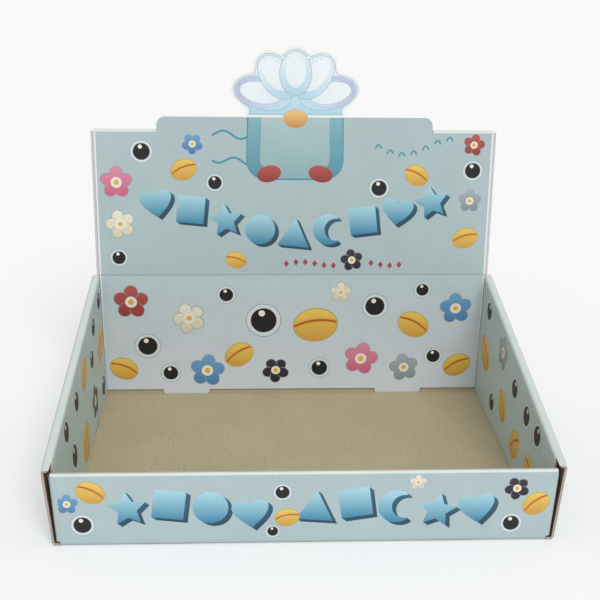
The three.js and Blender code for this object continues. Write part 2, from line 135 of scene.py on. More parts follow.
def litho_ink(name, colour, far_colour=None, roughness=0.42, coat=0.12, mottle=0.025):
    """Offset litho ink under varnish: even and softly glossy, slightly mottled, and faintly lined where
    the flutes telegraph through the liner. It may fade to a second colour."""
    material, tree = empty_material(name + "_litho_ink")
    spot = node(tree, "ShaderNodeTexCoord").outputs["Object"]
    wave = flute_wave(tree, 1.0)
    lines = node(tree, "ShaderNodeMath", {"operation": "MULTIPLY_ADD", 1: 0.008, 2: 1.0}, {0: wave})
    clouds = product(tree, varied(tree, spot, CLOUD, 0.025), varied(tree, spot, SPECKLE, mottle))
    shade = product(tree, clouds, lines)
    fade = node(tree, "ShaderNodeSeparateXYZ", links={0: node(tree, "ShaderNodeUVMap", {"uv_map": "fade"})})
    ends = {"data_type": "RGBA", 6: linear(colour), 7: linear(far_colour or colour)}
    tint = node(tree, "ShaderNodeMix", ends, {0: fade})
    ink = node(tree, "ShaderNodeVectorMath", {"operation": "SCALE"}, {0: tint.outputs[2], "Scale": shade})
    surface(tree, ink, wave, 0.15, {"Roughness": roughness, "Coat Weight": coat, "Coat Roughness": 0.25})
    INKS[name] = material


def bare_paper(name, colour, fibre, roughness=0.85):
    """Unprinted paper: matt, with fine fibres and clouds in lighter and darker tones."""
    material, tree = empty_material(name)
    spot = node(tree, "ShaderNodeTexCoord").outputs["Object"]
    drawn = node(tree, "ShaderNodeMapping", {"Scale": (1.0, 0.35, 1.0)}, {"Vector": spot})
    fibres = varied(tree, drawn, FIBRE, fibre, 5.0)
    wave = flute_wave(tree, 1.0)
    lines = node(tree, "ShaderNodeMath", {"operation": "MULTIPLY_ADD", 1: 0.02, 2: 1.0}, {0: wave})
    shade = product(tree, product(tree, fibres, varied(tree, spot, WIDE_CLOUD, 0.5 * fibre)), lines)
    pulp = node(tree, "ShaderNodeVectorMath", {"operation": "SCALE", 0: linear(colour)[:3]}, {"Scale": shade})
    surface(tree, pulp, fibres, 0.3, {"Roughness": roughness})
    INKS[name] = material


def cut_medium(name):
    """A cut edge's wavy medium: a pale line that winds between the liners, over hollows in painted shade."""
    material, tree = empty_material(name)
    blank = node(tree, "ShaderNodeSeparateXYZ", links={0: node(tree, "ShaderNodeUVMap", {"uv_map": "blank"})})
    swing = flute_wave(tree, (HALF - LINER) / UV_MM)
    off = node(tree, "ShaderNodeMath", {"operation": "SUBTRACT"}, {0: blank.outputs[1], 1: swing})
    away = node(tree, "ShaderNodeMath", {"operation": "ABSOLUTE"}, {0: off})
    falloff = {"From Min": 0.001, "From Max": 0.004, "To Min": 1.0, "To Max": 0.0}
    web = node(tree, "ShaderNodeMapRange", falloff, {0: away})
    # The flutes' hollows get the darker colour: painted shade in them.
    web_and_hollow_shade = {"data_type": "RGBA", 6: linear("#94887f"), 7: linear("#cfc7c0")}
    pulp = node(tree, "ShaderNodeMix", web_and_hollow_shade, {0: web})
    surface(tree, pulp.outputs[2], web, 0.2, {"Roughness": 0.9})
    INKS[name] = material


litho_ink("print_ground", "#aabcbf")
litho_ink("outline_grey", "#8f93a0")
# Paler over the folds: print stretched by the fold, and a painted highlight where the fold faces up.
litho_ink("fold_stretch_and_highlight", "#cfd8d4", roughness=0.5, coat=0.05)
bare_paper("kraft_liner", "#b2a586", 0.07)
bare_paper("edge_paper", "#c9c8cc", 0.03)
bare_paper("cut_kraft_liner", "#b7a99a", 0.1)
bare_paper("cut_white_liner", "#dcdcdb", 0.05)
cut_medium("cut_medium")

# How its board folds. A panel is described flat, as (across, along), and by the board's middle line that
# it is folded along, seen edge-on. Folds are small arcs; the print is on the line's left or right side.
LAYER = BOARD + 0.3             # pitch of two layers that lie against each other
FOLD_RADIUS = 1.6
ROLL_RADIUS = 1.5
ROLL = LAYER / 2
CORE_SINK = 0.3                 # how far the soft medium lies behind the cut liners
ARC_STEPS = 6
SHARP_FROM = math.radians(35)   # steeper edges than this stay sharp; the arcs of a fold are smooth


def facing(heading):
    return Vector((-math.sin(heading), math.cos(heading)))


def straight(start, end):
    way = end - start
    side = facing(math.atan2(way.y, way.x))
    return way.length, lambda part, height: start + way * part + side * height


def bend(centre, arm, heading, turn):
    return abs(arm * turn), lambda part, height: centre - facing(heading + turn * part) * (arm - height)


def folded_line(corners, radii):
    """Straight stretches and arcs through the corners, each as (length, point at part and height)."""
    corners = [Vector(corner) for corner in corners]
    headings = [math.atan2(b.y - a.y, b.x - a.x) for a, b in zip(corners, corners[1:])]
    stretches, here = [], corners[0]
    for corner, radius, before, after in zip(corners[1:], radii, headings, headings[1:]):
        turn = (after - before + math.pi) % (2 * math.pi) - math.pi
        reach = radius * math.tan(abs(turn) / 2)
        start = corner - Vector((math.cos(before), math.sin(before))) * reach
        arm = math.copysign(radius, turn)
        stretches += [straight(here, start), bend(start + facing(before) * arm, arm, before, turn)]
        here = corner + Vector((math.cos(after), math.sin(after))) * reach
    return stretches + [straight(here, corners[-1])]


class Sheet:
    """Panels of board on one folded line, which may change from one place across to the next."""

    def __init__(self, line_at, place, outside, reference=0.0, flutes_along=True):
        self.line_at, self.place, self.outside, self.flutes_along = line_at, place, outside, flutes_along
        self.lengths = [length for length, _ in line_at(reference)]
        self.knots = [sum(self.lengths[:k]) for k in range(len(self.lengths) + 1)]

    def point(self, across, along, height):
        k = 0
        while k < len(self.lengths) - 1 and along > self.knots[k + 1] + 1e-6:
            k += 1
        part = (along - self.knots[k]) / self.lengths[k] if self.lengths[k] > 1e-6 else 0.0
        return self.place(across, self.line_at(across)[k][1](part, self.outside * height))

    def rows(self):
        """Where along the sheet its mesh needs a row of points, so that it can bend there."""
        arcs = [self.knots[k] + self.lengths[k] * i / ARC_STEPS
                for k in range(1, len(self.lengths), 2) for i in range(ARC_STEPS + 1)]
        return [self.knots[0], *arcs, self.knots[-1]]

    def flute_uv(self, p):
        u, v = p.x / UV_MM, p.y / UV_MM
        return (u, v) if self.flutes_along else (v, u)


def covered(loop, spots):
    """Which of the spots lie inside a loop."""
    loop = np.array(loop)
    near = np.all((spots > loop.min(0)) & (spots < loop.max(0)), axis=1)
    index = np.nonzero(near)[0]
    x, y = spots[index].T
    inside = np.zeros(len(index), bool)
    for (x0, y0), (x1, y1) in zip(loop, np.roll(loop, -1, 0)):
        if y0 != y1:
            crosses = (y0 > y) != (y1 > y)
            inside ^= crosses & (x < (x1 - x0) * (y - y0) / (y1 - y0) + x0)
    return index[inside]


def fold_sheet(name, sheet, outline, holes=(), art=(), columns=(), rows=(), inner=lambda p: "kraft_liner"):
    """Cuts the flat blank along its outline, bends and print, and folds it. Later art covers earlier art."""
    loops = [outline, *holes, *[loop for _, loop, _ in art]]
    points, edges = [], []
    for loop in loops:
        first, count = len(points), len(loop)
        points += [Vector(p) for p in loop]
        edges += [(first + i, first + (i + 1) % count) for i in range(count)]
    low = [min(p[i] for p in outline) - 1 for i in (0, 1)]
    high = [max(p[i] for p in outline) + 1 for i in (0, 1)]
    lines = [((low[0], s), (high[0], s)) for s in [*sheet.rows(), *rows]]
    lines += [((a, low[1]), (a, high[1])) for a in columns]
    for line in lines:
        edges.append((len(points), len(points) + 1))
        points += [Vector(p) for p in line]
    flat, _, tris, _, _, _ = delaunay_2d_cdt(points, edges, [], 0, 1e-4, False)
    corners = np.array([[flat[i][:] for i in tri] for tri in tris])
    middles = corners.mean(1)
    keep = np.zeros(len(tris), bool)
    keep[covered(outline, middles)] = True
    for hole in holes:
        keep[covered(hole, middles)] = False
    owner = np.full(len(tris), -1)
    for number, (_, loop, _) in enumerate(art):
        owner[covered(loop, middles)] = number
    area = np.abs(np.cross(corners[:, 1] - corners[:, 0], corners[:, 2] - corners[:, 0]))
    keep &= area > 1e-7
    plain = ("print_ground", (), None)
    kept = [(list(tris[i]), art[owner[i]] if owner[i] >= 0 else plain, inner(Vector(middles[i])))
            for i in np.nonzero(keep)[0]]
    board_mesh(name, sheet, flat, kept)


def board_mesh(name, sheet, flat, kept):
    """Both faces of the board, and its cut edges: printed liner, medium set back, kraft liner."""
    used = sorted({i for tri, _, _ in kept for i in tri})
    number = {old: new for new, old in enumerate(used)}
    flat = [flat[i] for i in used]
    count = len(flat)
    outer = [sheet.point(p.x, p.y, HALF) for p in flat]
    inner = [sheet.point(p.x, p.y, -HALF) for p in flat]
    verts = outer + inner
    faces, slots, uvs, fades, names = [], [], [], [], []

    def add(face, ink, uv, fade=0.0):
        if ink not in names:
            names.append(ink)
        faces.append(face)
        slots.append(names.index(ink))
        uvs.extend(uv)
        fades.extend(fade if isinstance(fade, list) else [fade] * len(face))

    a, b, c = (number[i] for i in kept[0][0])
    flip = (outer[b] - outer[a]).cross(outer[c] - outer[a]).dot(outer[a] - inner[a]) < 0
    directed = set()
    for tri, (ink, _, axis), back in kept:
        tri = [number[i] for i in (reversed(tri) if flip else tri)]
        uv = [sheet.flute_uv(flat[i]) for i in tri]
        fade = 0.0
        if axis:
            foot, way = Vector(axis[0]), Vector(axis[1]) - Vector(axis[0])
            fade = [min(1.0, max(0.0, (flat[i] - foot).dot(way) / way.length_squared)) for i in tri]
        add(tri, ink, uv, fade)
        add([i + count for i in reversed(tri)], back, uv[::-1])
        directed.update(zip(tri, tri[1:] + tri[:1]))
    rim = [(i, j) for i, j in directed if (j, i) not in directed]
    after, before = dict(rim), {j: i for i, j in rim}
    levels = [(HALF - LINER, 0.0), (HALF - LINER, CORE_SINK), (LINER - HALF, CORE_SINK), (LINER - HALF, 0.0)]
    ring = {}
    for i in sorted(after):
        inwards = (outer[i] - inner[i]).normalized().cross((outer[after[i]] - outer[before[i]]).normalized())
        ring[i] = [i]
        for height, sink in levels:
            ring[i].append(len(verts))
            verts.append(sheet.point(flat[i].x, flat[i].y, height) + inwards * sink)
        ring[i].append(i + count)
    heights = [h / UV_MM for h in (HALF, HALF - LINER, HALF - LINER, LINER - HALF, LINER - HALF, -HALF)]
    bands = ["cut_white_liner", "cut_medium", "cut_medium", "cut_medium", "cut_kraft_liner"]
    for i, j in sorted(rim):
        near, far = (sheet.flute_uv(flat[k])[0] for k in (i, j))
        for k, ink in enumerate(bands):
            uv = [(far, heights[k]), (near, heights[k]), (near, heights[k + 1]), (far, heights[k + 1])]
            add([ring[j][k], ring[i][k], ring[i][k + 1], ring[j][k + 1]], ink, uv)
    mesh = bpy.data.meshes.new(name)
    mesh.from_pydata([v * MM for v in verts], [], faces)
    mesh.uv_layers.new(name="blank").data.foreach_set("uv", [value for pair in uvs for value in pair])
    mesh.uv_layers.new(name="fade").data.foreach_set("uv", [value for fade in fades for value in (fade, 0.0)])
    for ink in names:
        mesh.materials.append(INKS[ink])
    mesh.polygons.foreach_set("material_index", slots)
    mesh.shade_smooth()
    mesh.set_sharp_from_angle(angle=SHARP_FROM)
    piece = bpy.data.objects.new(name, mesh)
    bpy.context.scene.collection.objects.link(piece)
    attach(piece, "root")
    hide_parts("display_box")


# The print's motifs: marbles, yellow balls with a seam, flowers and solid toy shapes, each drawn in
# millimetres on its panel as (ink, loop, fade axis), the loops in the order in which they are printed.
litho_ink("marble_black", "#120f12", roughness=0.5, coat=0.03)
litho_ink("marble_shine", "#e6e4da")
litho_ink("ring_pale", "#ccd8da")
litho_ink("ball_rim", "#b9a25a")
litho_ink("ball_yellow", "#c9953c", "#e3c258")
litho_ink("seam_orange", "#dd9a42")
litho_ink("seam_brown", "#a3561f")
litho_ink("petal_heart", "#e6e2d4")
litho_ink("petal_core", "#dcab3e")
litho_ink("petal_pink", "#c4577a", "#d98aa2")
litho_ink("petal_red", "#8f332f", "#b3564c")
litho_ink("petal_blue", "#4178a8", "#6aa0c8")
litho_ink("petal_grey", "#7b8890", "#a3adb2")
litho_ink("petal_black", "#151318", "#343038")
litho_ink("petal_cream", "#cfc7aa", "#e8e3d0")
litho_ink("toy_shadow", "#1d4257", "#2d5f78")
litho_ink("toy_blue", "#2f80a3", "#a4d3de")
FLOWERS = ["petal_pink", "petal_red", "petal_blue", "petal_grey", "petal_black", "petal_cream"]


def disc(x, y, rx, ry=None, turn=0.0, steps=28):
    ry = rx if ry is None else ry
    angles = [2 * math.pi * i / steps for i in range(steps)]
    return turned([(rx * math.cos(a), ry * math.sin(a)) for a in angles], x, y, turn)


def turned(loop, x, y, turn):
    c, s = math.cos(turn), math.sin(turn)
    return [(x + u * c - v * s, y + u * s + v * c) for u, v in loop]


def marble(x, y, r):
    rings = [("outline_grey", 1.37, 0.0), ("ring_pale", 1.31, 0.0), ("marble_black", 1.0, 0.0),
             ("marble_shine", 0.25, 0.58)]
    return [(ink, disc(x - 0.25 * rise * r, y + rise * r, size * r), None) for ink, size, rise in rings]


def ball(x, y, r, turn=0.0):
    """A little wider than high, with one seam that arches from side to side."""
    def seam(width):
        steps = [-0.93 + 1.86 * i / 12 for i in range(13)]
        upper = [(u * r, (0.26 * (1 - u * u) + width) * 0.8 * r) for u in steps]
        lower = [(u * r, (0.26 * (1 - u * u) - width) * 0.8 * r) for u in steps]
        return turned(upper + lower[::-1], x, y, turn)
    return [("ball_rim", disc(x, y, r, 0.8 * r, turn), None),
            ("ball_yellow", disc(x, y, 0.94 * r, 0.74 * r, turn), ((x, y - 0.8 * r), (x, y + 0.6 * r))),
            ("seam_orange", seam(0.13), None), ("seam_brown", seam(0.055), None)]


def flower(x, y, r, petals, turn=0.3):
    axis = ((x, y - r), (x, y + r))
    loops = []
    for angle in [turn + 2 * math.pi * k / 5 for k in range(5)]:
        px, py = x + 0.56 * r * math.cos(angle), y + 0.56 * r * math.sin(angle)
        loops += [("outline_grey", disc(px, py, 0.47 * r, 0.42 * r, angle, 18), None),
                  (petals, disc(px, py, 0.43 * r, 0.38 * r, angle, 18), axis)]
    return loops + [(petals, disc(x, y, 0.45 * r, steps=18), axis),
                    ("petal_heart", disc(x, y, 0.34 * r, steps=18), None),
                    ("petal_core", disc(x, y, 0.17 * r, steps=12), None)]


def toy_outline(kind, r):
    if kind == "block":
        return [(-0.85 * r, -0.85 * r), (0.85 * r, -0.85 * r), (0.85 * r, 0.85 * r), (-0.85 * r, 0.85 * r)]
    if kind == "wedge":
        return [(-r, -0.85 * r), (r, -0.85 * r), (0, 0.95 * r)]
    if kind == "star":
        arms = [((1.08 if k % 2 == 0 else 0.52) * r, k * math.pi / 5) for k in range(10)]
        return [(-arm * math.sin(angle), arm * math.cos(angle)) for arm, angle in arms]
    if kind == "heart":
        turns = [2 * math.pi * k / 32 for k in range(32)]
        return [(r * math.sin(t) ** 3,
                 r * (0.82 * math.cos(t) - 0.3 * math.cos(2 * t) - 0.12 * math.cos(3 * t)))
                for t in reversed(turns)]
    if kind == "moon":
        outer = [math.radians(58 + 244 * k / 18) for k in range(19)]
        inner = [math.radians(282 - 204 * k / 14) for k in range(15)]
        return ([(0.98 * r * math.cos(a), 0.98 * r * math.sin(a)) for a in outer]
                + [((0.45 + 0.7 * math.cos(a)) * r, 0.7 * r * math.sin(a)) for a in inner])
    return disc(0, 0, 0.95 * r)


def toy(kind, x, y, r, turn=0.0):
    """A solid shape in fading blue with a dark side to its lower right."""
    face = turned(toy_outline(kind, r), x, y, turn)
    axis = ((x, y - 0.9 * r), (x, y + 0.9 * r))

    def side(step):
        return [(u + 0.06 * r * step, v - 0.045 * r * step) for u, v in face]
    return [("toy_shadow", side(step), axis) for step in (4, 3, 2, 1)] + [("toy_blue", face, axis)]


def printed(loops, where):
    """Loops drawn on a panel, taken to that panel's place on the flat sheet."""
    return [(ink, [where(x, y) for x, y in loop], axis and (where(*axis[0]), where(*axis[1])))
            for ink, loop, axis in loops]


def scattered(seed, fits, low, high, count, sizes=(5.5, 7.0, 9.5, 12.0)):
    """A loose scatter of small motifs over a panel that keep clear of each other."""
    dice = random.Random(seed)
    spots, loops = [], []
    for _ in range(count * 60):
        x, y, r = dice.uniform(low[0], high[0]), dice.uniform(low[1], high[1]), dice.choice(sizes)
        crowded = any(math.hypot(x - u, y - v) < 1.35 * (r + q) for u, v, q in spots)
        if len(spots) == count or crowded or not fits(x, y, r):
            continue
        spots.append((x, y, r))
        if r < sizes[2]:
            loops += marble(x, y, r / 1.3)
        elif dice.random() < 0.5:
            loops += ball(x, y, r, dice.uniform(-0.9, 0.9))
        else:
            loops += flower(x, y, r, dice.choice(FLOWERS), dice.uniform(0, 1.2))
    return loops


# The long middle's flat outline, from the front inner panel's tabs to the fold at the header's two
# shoulders. The topper and its strip are cut out of the rear layer, which leaves a window there.
HALF_WIDTH, FRONT_Y, BACK_Y = 160.0, -112.5, 112.5
FRONT_HEIGHT, BACK_HEIGHT, HEADER_HEIGHT = 51.0, 105.0, 115.0
HEADER_LEAN, TOPPER_LEAN = math.radians(3.5), math.radians(4)
CREASE_RADIUS = 7.2
FLOOR_HALF = 154.8              # the side walls' own board starts here
FRONT_HALF, FRONT_TOP_HALF, BACK_HALF, BACK_TOP_HALF = 154.5, 158.2, 154.51, 156.3
INNER_FOOT_HALF, SHOULDER_HALF = 152.5, 153.7
STRIP_HALF, STRIP_RISE, STRIP_RADIUS, CUT_WIDTH = 106.0, 9.5, 6.0, 0.6
FRONT_INNER_Y, BACK_INNER_Y = FRONT_Y + HALF + LAYER, BACK_Y - HALF - LAYER
EDGE_LIFT, PANEL_LIFT = 0.4, 3.5
TAB_WIDTH, TAB_OFFSET, SIDE_TAB_WIDTH, SIDE_TAB_OFFSET = 38.0, 87.5, 28.0, 46.0
TAB_BEVEL, TAB_CLEARANCE = 3.0, 0.3
SIDE_SLOT_X = 153.75
ROLL_CUT_HEIGHT, REAR_STEP_HEIGHT = 46.3, 97.8      # where the walls widen towards the roll and the header
TOPPER_WIDTH, TOPPER_HEIGHT, TOPPER_FOOT, LOOP_WIDTH = 101.0, 52.8, 76.0, 31.0
SHOULDER_TOP = HEADER_HEIGHT - HALF


def on_header(behind, up):
    """A point of the leaning header: how far behind its front layer, and how far up along it."""
    return Vector((BACK_INNER_Y + behind * math.cos(HEADER_LEAN) + up * math.sin(HEADER_LEAN),
                   BACK_HEIGHT - behind * math.sin(HEADER_LEAN) + up * math.cos(HEADER_LEAN)))


def ellipse_exit(bearing, x, y, long, wide, tilt):
    """Distance from the bow's knot to the far side of an ellipse, looking along a bearing."""
    def local(u, v):
        along, across = u * math.cos(tilt) + v * math.sin(tilt), v * math.cos(tilt) - u * math.sin(tilt)
        return along / long, across / wide
    (dx, dy), (px, py) = local(math.cos(bearing), math.sin(bearing)), local(-x, -y)
    a, b, c = dx * dx + dy * dy, px * dx + py * dy, px * px + py * py - 1
    return 0.0 if b * b < a * c else (-b + math.sqrt(b * b - a * c)) / a


HUB = 12.7                      # height of the bow's knot over the topper's foot
RIBBONS = []                    # the five loops of the topper's bow, as ellipses through its hub
for bearing in [math.radians(degrees) for degrees in (12, 51, 90, 129, 168)]:
    reach = TOPPER_WIDTH / 2 + (TOPPER_HEIGHT - HUB - TOPPER_WIDTH / 2) * math.sin(bearing) ** 2
    middle_x, middle_y = reach / 2 * math.cos(bearing), reach / 2 * math.sin(bearing)
    RIBBONS.append((middle_x, middle_y, reach / 2, LOOP_WIDTH / 2, bearing))


def topper_loop(steps=72):
    foot = (0, -HUB, TOPPER_FOOT / 2, 1.5 * HUB, 0)
    edge = math.atan2(-HUB, TOPPER_FOOT / 2)
    loop = []
    for i in range(steps + 1):
        bearing = edge + (math.pi - 2 * edge) * i / steps
        reach = max(ellipse_exit(bearing, *ellipse) for ellipse in [*RIBBONS, foot])
        loop.append((reach * math.cos(bearing), HUB + reach * math.sin(bearing)))
    return loop


def strip_loop():
    """The raised strip and the topper, as (x, up from the shoulder), from right to left."""
    def round_end(side):
        angles = [math.pi / 2 * i / 5 for i in range(6)]
        return [(side * (STRIP_HALF - STRIP_RADIUS + STRIP_RADIUS * math.cos(a)),
                 STRIP_RISE - STRIP_RADIUS + STRIP_RADIUS * math.sin(a)) for a in angles]
    return [*round_end(1), *[(x, STRIP_RISE + up) for x, up in topper_loop()], *round_end(-1)[::-1]]


def tab_loop(centre, width, root):
    """One tab of an edge, as (across, height), from its left to its right."""
    def reach(z):
        return width / 2 - TAB_BEVEL / 2 * max(0.0, (TAB_BEVEL - z) / (TAB_BEVEL - TAB_CLEARANCE))
    heights = [root, TAB_BEVEL, TAB_CLEARANCE] if root > TAB_BEVEL else [root, TAB_CLEARANCE]
    return ([(centre - reach(z), z) for z in heights] + [(centre + reach(z), z) for z in reversed(heights)])


def slot_loop(x, y, width, depth):
    u, v = width / 2 + TAB_CLEARANCE, depth / 2 + TAB_CLEARANCE
    return [(x - u, y - v), (x + u, y - v), (x + u, y + v), (x - u, y + v)]


rear_crease = on_header(LAYER, LAYER * math.tan(HEADER_LEAN / 2))
middle_line = folded_line([
    (FRONT_INNER_Y, TAB_CLEARANCE), (FRONT_INNER_Y, FRONT_HEIGHT - HALF),
    (FRONT_Y + HALF, FRONT_HEIGHT - HALF),
    (FRONT_Y + HALF, HALF), (BACK_Y - HALF, HALF), rear_crease,
    on_header(LAYER, SHOULDER_TOP), on_header(0, SHOULDER_TOP), on_header(0, SHOULDER_TOP - ROLL - 0.01),
], [ROLL, ROLL, FOLD_RADIUS, FOLD_RADIUS, CREASE_RADIUS, ROLL, ROLL])
middle = Sheet(lambda across: middle_line, lambda across, p: Vector((across, p.x, p.y)), -1)
FRONT_ROLL = middle.knots[4]
FLOOR_FRONT, FLOOR_BACK, BACK_FOOT = middle.knots[6:9]
REAR_TOP = middle.knots[11]


def on_front(x, z):
    return x, FRONT_ROLL + FRONT_HEIGHT - HALF - ROLL - z


def on_floor(x, y):
    return x, FLOOR_FRONT + y - FRONT_Y - HALF - FOLD_RADIUS


def on_back(x, z):
    """On the back wall and on up the header's rear layer."""
    return x, BACK_FOOT + z - HALF - FOLD_RADIUS


def middle_outline():
    root = BOARD + EDGE_LIFT
    inner_top, end = middle.knots[1], middle.knots[-1]
    roll_cut, rear_step = on_front(0, ROLL_CUT_HEIGHT)[1], on_back(0, REAR_STEP_HEIGHT)[1]
    window_top = on_back(0, BACK_HEIGHT + HEADER_HEIGHT - BOARD)[1]
    leg = STRIP_HALF + CUT_WIDTH
    right = [(INNER_FOOT_HALF, root - TAB_CLEARANCE), (INNER_FOOT_HALF, inner_top),
             (FRONT_TOP_HALF, inner_top), (FRONT_TOP_HALF, roll_cut), (FRONT_HALF, roll_cut),
             (FRONT_HALF, FLOOR_FRONT), (FLOOR_HALF, FLOOR_FRONT), (FLOOR_HALF, FLOOR_BACK),
             (BACK_HALF, FLOOR_BACK), (BACK_HALF, rear_step), (BACK_TOP_HALF, rear_step),
             (BACK_TOP_HALF, REAR_TOP), (SHOULDER_HALF, REAR_TOP), (SHOULDER_HALF, end),
             (leg, end), (leg, REAR_TOP), (STRIP_HALF, REAR_TOP)]
    window = [(x, window_top - up) for x, up in strip_loop()]
    left = [(-x, s) for x, s in reversed(right)]
    tabs = [(x, z - TAB_CLEARANCE) for centre in (-TAB_OFFSET, TAB_OFFSET)
            for x, z in tab_loop(centre, TAB_WIDTH, root)]
    return right + window + left + tabs


front_art = []
for x, kind, turn in [(-112, "star", 0.1), (-86, "block", -0.12), (-60, "disc", 0), (-35, "heart", 0.1),
                      (6, "wedge", -0.08), (31, "block", 0.15), (57, "moon", 0), (83, "star", -0.15),
                      (108, "heart", 0.15)]:
    front_art += toy(kind, x, 26 + 3 * math.sin(x / 18), 11.8, turn)
front_art += marble(-140, 15, 5.6) + marble(-15, 37, 4.4) + marble(131, 13, 5.2) + marble(-21, 9, 3.4)
front_art += ball(-134, 38, 9.5, -0.5) + ball(146, 27, 9.5, 0.7) + ball(-12, 19, 8, 0.2)
front_art += flower(-149, 30, 7, "petal_blue") + flower(70, 43, 5.5, "petal_cream")
front_art += flower(133, 38, 8, "petal_black", 0.8)


def band(half_width, start, end, ink):
    """A strip across a panel: stretched print and a painted highlight on a fold, painted shade on the crease.
    """
    return ink, [(-half_width, start), (half_width, start), (half_width, end), (-half_width, end)], None


# The front roll's top and the header's shoulders: print stretched by the folds, and a painted highlight on
# top.
fold_art = [band(FRONT_TOP_HALF, middle.knots[1], FRONT_ROLL - 0.2, "fold_stretch_and_highlight"),
            band(BACK_TOP_HALF, REAR_TOP, middle.knots[-1], "fold_stretch_and_highlight")]
slots = [slot_loop(side * TAB_OFFSET, y, TAB_WIDTH, BOARD)
         for side in (-1, 1) for y in (FRONT_INNER_Y, BACK_INNER_Y)]
slots += [slot_loop(side * SIDE_SLOT_X, side_y, BOARD, SIDE_TAB_WIDTH)
          for side in (-1, 1) for side_y in (-SIDE_TAB_OFFSET, SIDE_TAB_OFFSET)]
FACED_FROM = on_back(0, REAR_STEP_HEIGHT)[1]       # from here up, the inner face is pale at its two sides
back_art = scattered(5, lambda x, z, r: True, (-138, 16), (138, 92), 26)
back_art += scattered(6, lambda x, z, r: abs(x) > 118 or z < 140, (-140, 120), (140, 204), 22)
fold_sheet("floor_front_back_walls", middle, middle_outline(),
           [[on_floor(x, y) for x, y in slot] for slot in slots],
           fold_art + printed(front_art, on_front) + printed(back_art, on_back),
           (-SHOULDER_HALF + 1, SHOULDER_HALF - 1), (),
           lambda p: "edge_paper" if p.y > FACED_FROM and abs(p.x) > SHOULDER_HALF - 1 else "kraft_liner")

# The header's front layer, in one piece with the rear inner panel below its crease and with the raised
# strip and the speckled topper above. Its print faces the buyer; two tabs lock its lower edge to the floor.
litho_ink("paper_white", "#e4e9e8", roughness=0.5, coat=0.05)
# The topper looks pale and speckled in white, blue and lilac. Its blue and lilac are print; the paler
# ovals in the loops and the fades to near white along the loops and towards the top are painted
# highlights, glare on a glossy face. Its inks are mottled more than the panels' and given more gloss;
# how the real one is finished is a guess.
litho_ink("bow_pale", "#a5cfde", "#e3edf2", 0.3, 0.5, 0.09)
litho_ink("bow_lilac", "#bfe0ea", "#b9b6d6", 0.3, 0.5, 0.09)
litho_ink("bow_painted_glare", "#d9e6ec", "#e9eff2", 0.28, 0.5, 0.04)
litho_ink("bow_blue", "#9ccbdc", "#dfeaf2", 0.3, 0.5, 0.07)
litho_ink("bow_line", "#a2b4c8", roughness=0.3, coat=0.5)
litho_ink("knot_gold", "#c4873c", "#e8c27c", 0.35, 0.3)
litho_ink("gift_teal", "#4f8b9e", "#7fb0bb")
litho_ink("gift_light", "#86aab0", "#a9c3c2")
litho_ink("gift_red", "#8f2f2f", "#b0524a")
litho_ink("streamer_teal", "#3f8fa2")
litho_ink("diamond_red", "#a3364a")
# A thin darker line along the header's crease: painted shade in its groove.
litho_ink("crease_painted_shade", "#98a8ac")
# The rear inner panel's ground, paler and bluer towards the floor: painted light that brightens the low
# inside of the tray.
litho_ink("rear_ground_painted_light", "#cdd2db", "#b6c7cb")

topper_foot, topper_lean = on_header(0, HEADER_HEIGHT + STRIP_RISE), HEADER_LEAN + TOPPER_LEAN
topper_way = Vector((math.sin(topper_lean), math.cos(topper_lean)))
front_line = folded_line([
    (BACK_INNER_Y, TAB_CLEARANCE), (BACK_INNER_Y, BACK_HEIGHT), topper_foot,
    topper_foot + (TOPPER_HEIGHT + BOARD) * topper_way,
], [CREASE_RADIUS, CREASE_RADIUS])
header = Sheet(lambda across: front_line, lambda across, p: Vector((across, p.x, p.y)), 1)
CREASE_REACH = CREASE_RADIUS * math.tan(HEADER_LEAN / 2)


def on_rear_panel(x, z):
    return x, z - TAB_CLEARANCE


def on_header_face(x, up):
    return x, header.knots[2] + up - CREASE_REACH


def on_strip(x, up):
    return on_header_face(x, HEADER_HEIGHT + up)


def header_outline():
    root = BOARD + PANEL_LIFT
    leg_top = on_header_face(0, SHOULDER_TOP - ROLL)[1]
    right = [(INNER_FOOT_HALF + 0.1, on_rear_panel(0, root)[1]),
             (SHOULDER_HALF, on_rear_panel(0, BACK_HEIGHT)[1]), (SHOULDER_HALF, leg_top),
             (STRIP_HALF, leg_top)]
    top = [on_strip(x, up) for x, up in strip_loop()]
    left = [(-x, s) for x, s in reversed(right)]
    tabs = [on_rear_panel(x, z) for centre in (-TAB_OFFSET, TAB_OFFSET)
            for x, z in tab_loop(centre, TAB_WIDTH, root)]
    return right + top + left + tabs


BORDER, LINE = 1.9, 0.4


def inset(loop, margin):
    """A loop drawn in from another, for the white border that the die leaves round the print."""
    result = []
    for before, here, after in zip(loop[-1:] + loop[:-1], loop, loop[1:] + loop[:1]):
        way = Vector((after[0] - before[0], after[1] - before[1])).normalized()
        result.append((here[0] - way.y * margin, here[1] + way.x * margin))
    return result


def stroke(points, width):
    """A drawn line as a loop of its own."""
    left, right = [], []
    for i, here in enumerate(points):
        before, after = points[max(i - 1, 0)], points[min(i + 1, len(points) - 1)]
        way = Vector((after[0] - before[0], after[1] - before[1])).normalized() * width / 2
        left.append((here[0] - way.y, here[1] + way.x))
        right.append((here[0] + way.y, here[1] - way.x))
    return left + right[::-1]


